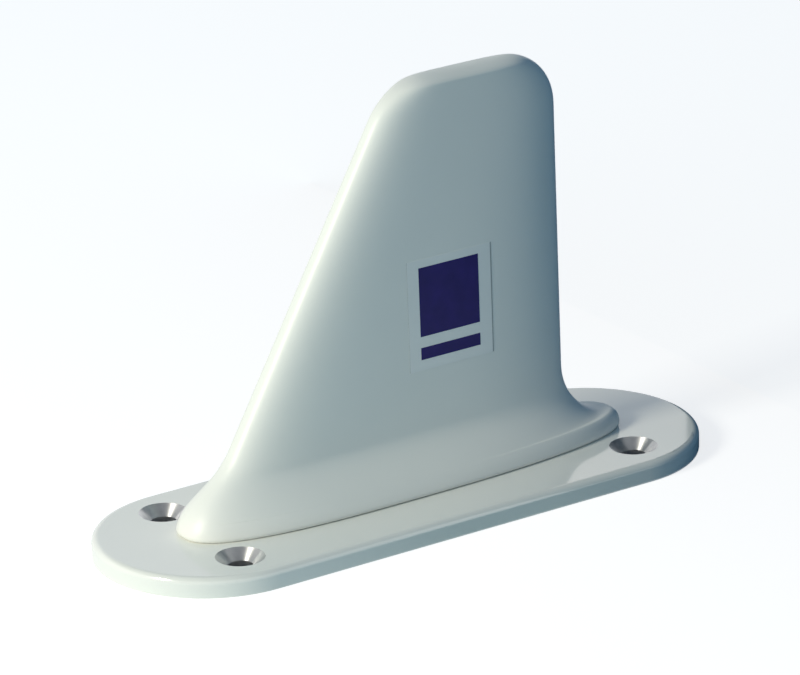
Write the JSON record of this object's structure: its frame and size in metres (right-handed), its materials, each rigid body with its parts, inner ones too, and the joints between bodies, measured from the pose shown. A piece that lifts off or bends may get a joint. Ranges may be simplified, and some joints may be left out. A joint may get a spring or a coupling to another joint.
{
  "type": "aircraft blade antenna",
  "caption": "Swept blade antenna: a moulded radome with a flared foot on a countersunk base plate, fed by a bayonet coaxial jack that passes through the aircraft skin.",
  "frame": {"origin": "centre of the screw pattern and of the base plate, on the plate's mounting face", "axes": "+X aft along the plate, +Y to the blade's side, +Z away from the aircraft skin"},
  "size_m": [0.1196, 0.0412, 0.0876],
  "materials": {
    "plate_paint": "gloss white paint on aluminium, bare metal in the countersinks and underneath",
    "radome_paint": "gloss white paint on a moulded composite shell",
    "foam": "rigid closed-cell foam",
    "brass_sheet": "rolled brass sheet",
    "nickel_plate": "satin nickel plate on brass",
    "insulator": "turned fluoropolymer",
    "contact_plate": "gold plate",
    "seal_rubber": "moulded rubber"
  },
  "bodies": {
    "root": {"base_plate": "plate_paint", "blade_radome": "radome_paint", "foam_core": "foam", "radiating_element": "brass_sheet", "connector_body": "nickel_plate", "connector_insulator": "insulator", "center_contact": "contact_plate", "connector_nut": "nickel_plate", "lock_washer": "nickel_plate", "connector_gasket": "seal_rubber", "base_seal": "seal_rubber"}
  },
  "joints": []
}
